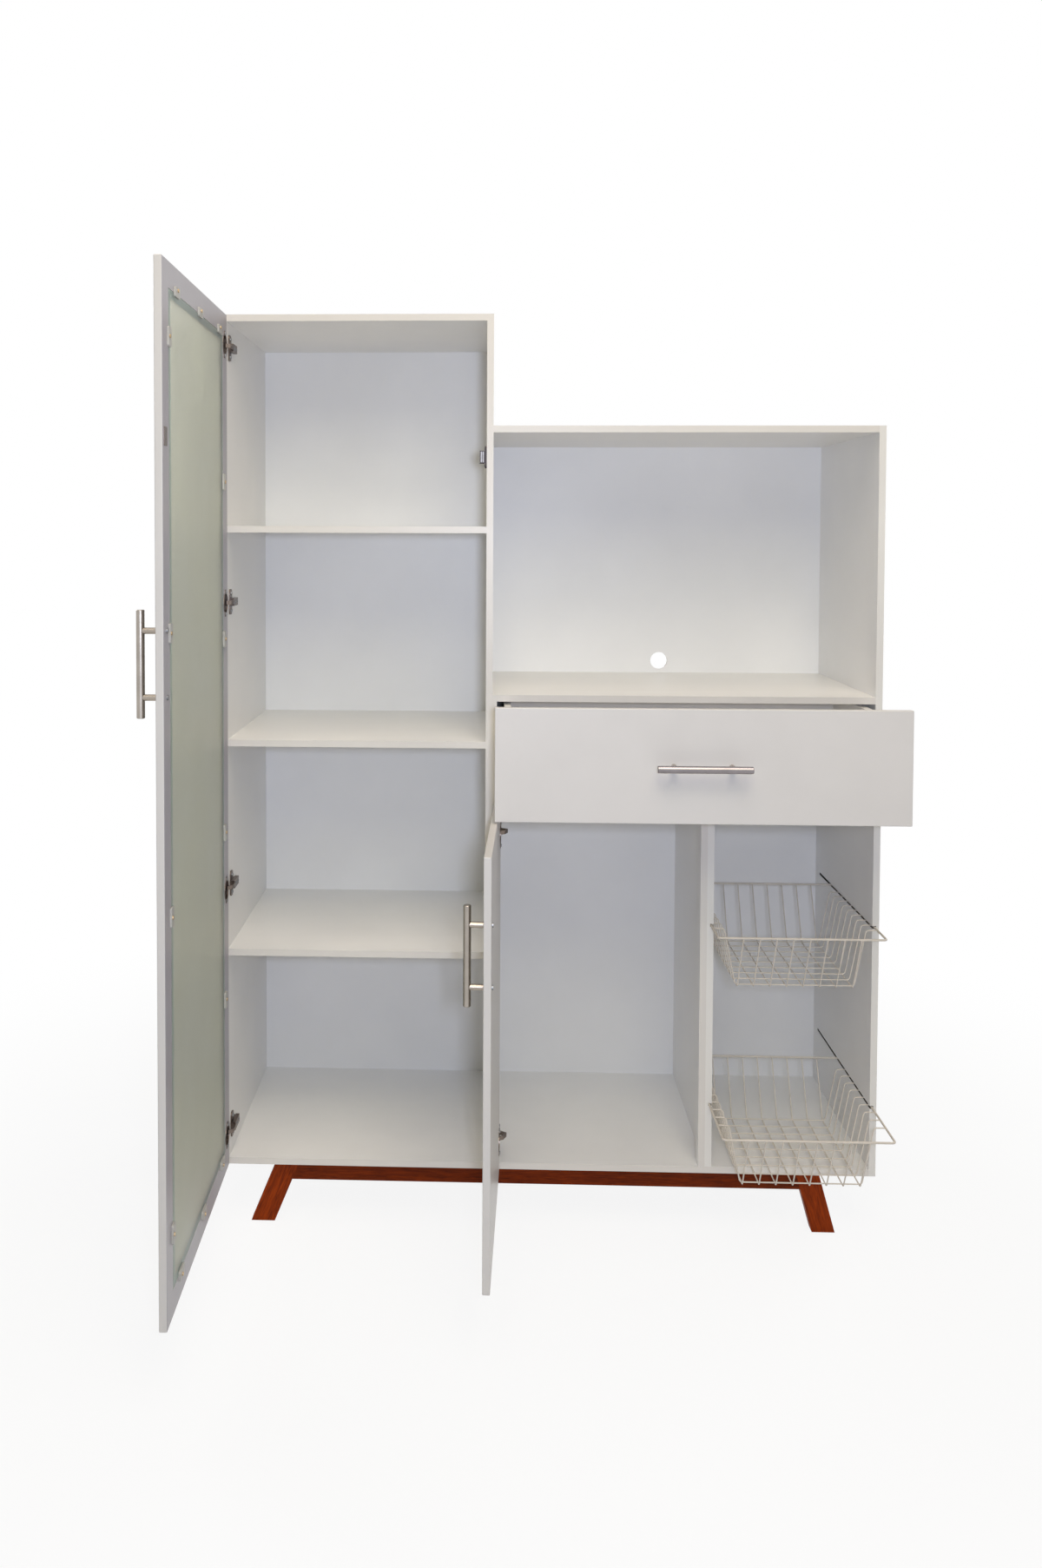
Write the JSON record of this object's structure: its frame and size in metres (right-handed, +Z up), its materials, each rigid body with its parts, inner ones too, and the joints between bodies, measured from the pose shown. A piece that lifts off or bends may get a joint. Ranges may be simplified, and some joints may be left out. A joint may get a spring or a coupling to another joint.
{
  "type": "kitchen cabinet",
  "caption": "White free-standing kitchen cabinet on a splayed timber stand: glass-door column, niche, drawer, cupboard and wire pull-out baskets.",
  "frame": {"origin": "middle of the footprint of the cabinet as it stands, doors open and drawer and baskets drawn out", "axes": "+Z up, +Y towards the back, +X to the right as seen from the front"},
  "size_m": [1.2046, 0.8806, 1.663],
  "materials": {
    "white_board": "satin white paint on board",
    "timber": "red-brown stain, satin",
    "pane": "frosted",
    "clip_plastic": "matte",
    "satin_nickel": "brushed",
    "hinge_steel": "satin",
    "screw_steel": "satin",
    "catch_plastic": "matte",
    "pole_steel": "bright",
    "runner_steel": "powder coat",
    "roller_plastic": "matte",
    "basket_wire": "cream coat"
  },
  "bodies": {
    "carcass": {"left_side_panel": "white_board", "centre_partition": "white_board", "right_side_panel": "white_board", "base_panel": "white_board", "column_top_panel": "white_board", "upper_shelf": "white_board", "middle_shelf": "white_board", "lower_shelf": "white_board", "bay_top_panel": "white_board", "niche_floor": "white_board", "drawer_deck": "white_board", "bay_divider": "white_board", "battens": "white_board", "column_back_panel": "white_board", "bay_back_panel": "white_board", "front_leg_rail": "timber", "front_left_leg": "timber", "front_right_leg": "timber", "rear_leg_rail": "timber", "rear_left_leg": "timber", "rear_right_leg": "timber", "stand_screws": "screw_steel", "hinge_plates": "hinge_steel", "tall_hinge_arms": "hinge_steel", "small_hinge_arms": "hinge_steel", "hinge_pins": "hinge_steel", "catch_body": "catch_plastic", "catch_poles": "pole_steel", "cabinet_runners": "runner_steel"},
    "tall_door": {"tall_door_frame": "white_board", "tall_door_glass": "pane", "glass_clips": "clip_plastic", "glass_clip_screws": "screw_steel", "tall_hinge_cups": "hinge_steel", "tall_handle_bar": "satin_nickel", "tall_handle_posts": "satin_nickel", "tall_handle_screws": "screw_steel", "strike_plate": "pole_steel"},
    "small_door": {"small_door_panel": "white_board", "small_hinge_cups": "hinge_steel", "small_handle_bar": "satin_nickel", "small_handle_posts": "satin_nickel", "small_handle_screws": "screw_steel"},
    "drawer": {"drawer_front": "white_board", "drawer_left_side": "white_board", "drawer_right_side": "white_board", "drawer_back": "white_board", "drawer_bottom": "white_board", "drawer_handle_bar": "satin_nickel", "drawer_handle_posts": "satin_nickel", "drawer_handle_screws": "screw_steel", "drawer_runners": "runner_steel"},
    "upper_basket": {"upper_basket_rim": "basket_wire", "upper_basket_cross_wires": "basket_wire", "upper_basket_long_wires": "basket_wire"},
    "lower_basket": {"lower_basket_rim": "basket_wire", "lower_basket_cross_wires": "basket_wire", "lower_basket_long_wires": "basket_wire"},
    "cabinet_roller_pair": {"cabinet_rollers": "roller_plastic"},
    "drawer_roller_pair": {"drawer_rollers": "roller_plastic"}
  },
  "joints": [
    {"name": "tall_door_hinge", "type": "hinge", "parent": "carcass", "child": "tall_door", "pos_m": [-0.57472, 0.03975, 0.117], "axis": [0, 0, -1], "range_deg": [-88.7, 9.3]},
    {"name": "small_door_hinge", "type": "hinge", "parent": "carcass", "child": "small_door", "pos_m": [-0.0812, 0.03975, 0.117], "axis": [0, 0, -1], "range_deg": [-92.6, 5.4]},
    {"name": "drawer_slide", "type": "slide", "parent": "carcass", "child": "drawer", "axis": [0, -1, 0], "range_m": [-0.152, 0.138]},
    {"name": "upper_basket_slide", "type": "slide", "parent": "carcass", "child": "upper_basket", "axis": [0, -1, 0], "range_m": [-0.076, 0.164]},
    {"name": "lower_basket_slide", "type": "slide", "parent": "carcass", "child": "lower_basket", "axis": [0, -1, 0], "range_m": [-0.138, 0.102]},
    {"name": "cabinet_roller_spin", "type": "hinge", "parent": "carcass", "child": "cabinet_roller_pair", "pos_m": [0.25379, 0.06325, 0.8085], "axis": [1, 0, 0], "continuous": true},
    {"name": "drawer_roller_spin", "type": "hinge", "parent": "drawer", "child": "drawer_roller_pair", "pos_m": [0.25379, 0.22725, 0.8085], "axis": [1, 0, 0], "continuous": true}
  ],
  "couplings": [
    {"joint": "cabinet_roller_spin", "follows": "drawer_slide", "rad_per_m": 100},
    {"joint": "drawer_roller_spin", "follows": "drawer_slide", "rad_per_m": 100}
  ]
}
